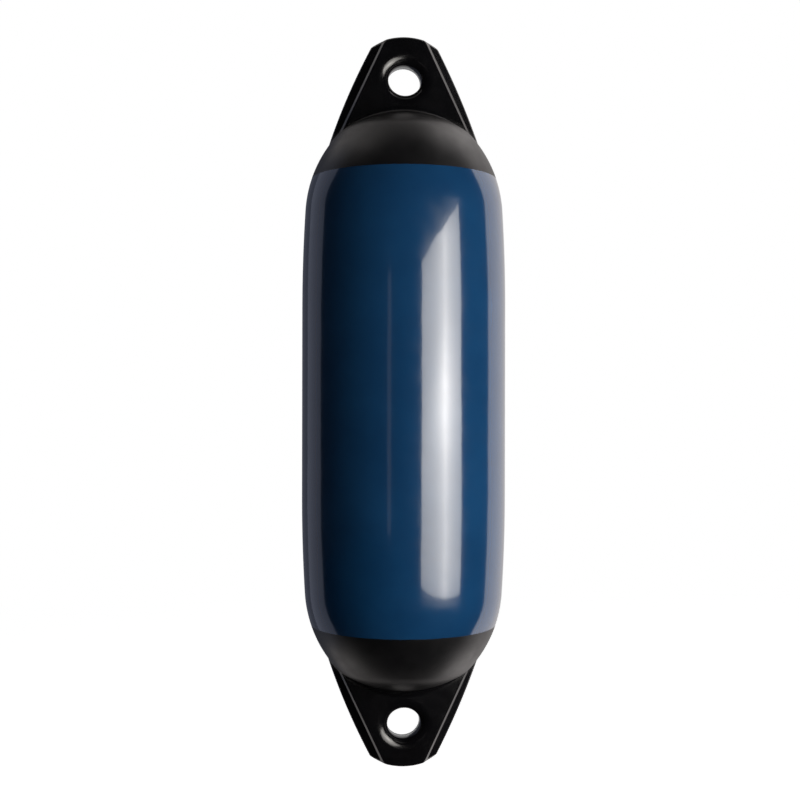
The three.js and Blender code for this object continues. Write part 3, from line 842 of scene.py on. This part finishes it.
def card(name, start, end, bow, near, far, rise, height, colour):
    """A white card from one azimuth to another, in degrees, as high above the fender's middle as
    below it. It glows from one strength at its near edge to another at its far one, times one plus
    its rise towards its top and bottom. A near edge that bows moves by the bow's degrees up to the
    bow height, by the square of the height, and no further beyond."""
    def glow(tree):
        across, up = panel_place(tree)
        level = ramp(tree, across, 0.0, 1.0, near, far)
        off_middle = worked(tree, "MULTIPLY_ADD", up, 2.0, -1.0)
        risen = worked(tree, "MULTIPLY_ADD", worked(tree, "POWER", off_middle, 4.0), rise, 1.0)
        return worked(tree, "MULTIPLY", level, risen)

    distance = BACK_CARD_DISTANCE if name == "back_card" else CARD_DISTANCE
    heights = np.linspace(-1, 1, CARD_ROWS) * height
    edge = start + bow * np.minimum(np.abs(heights) / CARD_BOW_HEIGHT, 1) ** 2
    rows = [(toward(e, distance, h), toward(end, distance, h)) for e, h in zip(edge, heights)]
    panel(name, rows, glowing_cloth(name + "_paper", colour, glow))


def cards():
    """White cards behind the fender on both sides, which light its edges: bright on the right,
    where the softbox reaches them, and dim on the left. A low one closes the gap behind, and a slim
    one in front makes a faint streak."""
    # Name, near and far azimuth, bow, glow at the near and the far edge, rise, height and colour.
    card("right_card", 105.8, 158, -6, 1.0, 0.55, 1.5, 1000, WARM_WHITE)
    card("right_far_card", 158, 176, 0, 0.55, 0.4, 1.5, 1000, WARM_WHITE)
    card("back_card", 158, 202, 0, 0.7, 0.7, 0, 450, "#FFFFFF")
    card("left_card", -102.5, -134, 6, 0.27, 0.27, 0.5, 1000, COOL_WHITE)
    card("left_far_card", -134, -176, 0, 0.1, 0.1, 1.0, 1000, COOL_WHITE)
    card("front_strip", -17, -13, 0, 0.25, 0.25, 0, 190, WARM_WHITE)


SHEET_HEIGHT = 700.0
SHEET_FAR_EDGE = -1200.0
SHEET_FAR_HALF_WIDTH = 1000.0


def sheets():
    """Dim white sheets above and below the fender, mostly behind it. Each lays a grey sheen on the
    dome that faces it. The lower one stays farther back, so its sheen is narrower. They widen
    towards the back, and glow more towards the left edge and most of all towards the right one."""
    def glow(tree):
        across, _ = panel_place(tree)
        right = ramp(tree, across, 0.72, 1.0, 0.36, 2.1, interpolation_type="SMOOTHSTEP")
        left = ramp(tree, across, 0.12, 0.34, 0.45, 0.0, interpolation_type="SMOOTHSTEP")
        return worked(tree, "ADD", right, left)

    for name, height, near_edge, near_half_width in (
        ("upper_sheet", SHEET_HEIGHT, 120, 400),
        ("lower_sheet", -SHEET_HEIGHT, -60, 550),
    ):
        rows = []
        for edge, half in ((SHEET_FAR_EDGE, SHEET_FAR_HALF_WIDTH), (near_edge, near_half_width)):
            middle = toward(0, edge, height)
            rightwards = np.array([half, 0, 0]) * MM
            rows.append((middle - rightwards, middle + rightwards))
        panel(name, rows, glowing_cloth(name + "_paper", WARM_WHITE, glow))


WHITE = (1, 1, 1, 1)
FLOOR_HALF = 4000.0
FLOOR_BELOW_MIDDLE = 750.0


def seen_or_lighting(tree, seen, lighting):
    """One shader where the camera sees it, and another where it lights the fender."""
    path = add(tree, "ShaderNodeLightPath")
    inputs = {0: path.outputs["Is Camera Ray"], 1: lighting.outputs[0], 2: seen.outputs[0]}
    return add(tree, "ShaderNodeMixShader", inputs).outputs[0]


def white_world():
    """A world that is white where the camera sees it and dim where it lights the fender."""
    world = bpy.data.worlds.new("white_studio")
    bpy.context.scene.world = world
    world.use_nodes = True
    tree = world.node_tree
    tree.nodes.clear()
    dim = add(tree, "ShaderNodeBackground", {"Color": linear("#F2F4FF"), "Strength": 0.01})
    white = add(tree, "ShaderNodeBackground", {"Color": WHITE, "Strength": 1.0})
    add(tree, "ShaderNodeOutputWorld", {0: seen_or_lighting(tree, white, dim)})


def floor():
    """A pale floor that keeps the fender's shadow, and is dark where it lights the fender."""
    material, tree, output = new_material("white_paper_sweep")
    shade = add(tree, "ShaderNodeBsdfDiffuse", {"Color": linear("#2C2C2C")})
    paper = add(tree, "ShaderNodeBsdfDiffuse", {"Color": linear("#F4F4F4")})
    glow = add(tree, "ShaderNodeEmission", {"Color": WHITE, "Strength": 0.985})
    lit = add(tree, "ShaderNodeAddShader", {0: paper.outputs[0], 1: glow.outputs[0]})
    tree.links.new(seen_or_lighting(tree, lit, shade), output.inputs[0])
    half = FLOOR_HALF * MM
    low = (MIDDLE[2] - FLOOR_BELOW_MIDDLE) * MM
    corners = [(-half, -half, low), (half, -half, low), (half, half, low), (-half, half, low)]
    mesh = bpy.data.meshes.new("floor")
    mesh.from_pydata(corners, [], [(0, 1, 2, 3)])
    mesh.materials.append(material)
    placed("floor", mesh)


def camera():
    """The camera looks level at the middle of the fender. Its lens makes the picture as wide at the
    fender's axis as the photograph, and a small shift sets the fender where the photograph has it."""
    data = bpy.data.cameras.new("camera")
    data.sensor_width = SENSOR
    data.lens = SENSOR * CAMERA_DISTANCE / PICTURE_SPAN_AT_AXIS
    data.shift_x = (PICTURE / 2 - FENDER_CENTRE_IN_PICTURE[0]) / PICTURE
    data.shift_y = (FENDER_CENTRE_IN_PICTURE[1] - PICTURE / 2) / PICTURE
    data.clip_start = 0.01
    piece = placed("camera", data)
    piece.location = toward(0, CAMERA_DISTANCE)
    piece.rotation_euler = (math.pi / 2, CAMERA_ROLL, CAMERA_AZIMUTH)
    bpy.context.scene.camera = piece


def build():
    """Makes the fender's three pieces, each riding on the one body and standing for its solid."""
    place, turn = valve_frame()
    moulding = fender_moulding(place, turn)
    paint_moulding(moulding, blue_plasticised_pvc(), black_plasticised_pvc())
    bush = valve_bush(place, turn)
    bush.data.materials.append(black_nylon("black_nylon_valve_bush", "#161618"))
    plug = screw_plug(place, turn)
    plug.data.materials.append(black_nylon("dark_grey_nylon_plug", "#242427"))
    for piece, node, slot in (
        (moulding, "fender_body", "moulded_vinyl"),
        (bush, "inflation_valve", "valve_nylon"),
        (plug, "valve_plug", "plug_nylon"),
    ):
        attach(piece, BODY)
        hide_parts(node)


build()
softbox()
cards()
sheets()
white_world()
floor()
camera()
bpy.context.scene.view_settings.view_transform = "Standard"
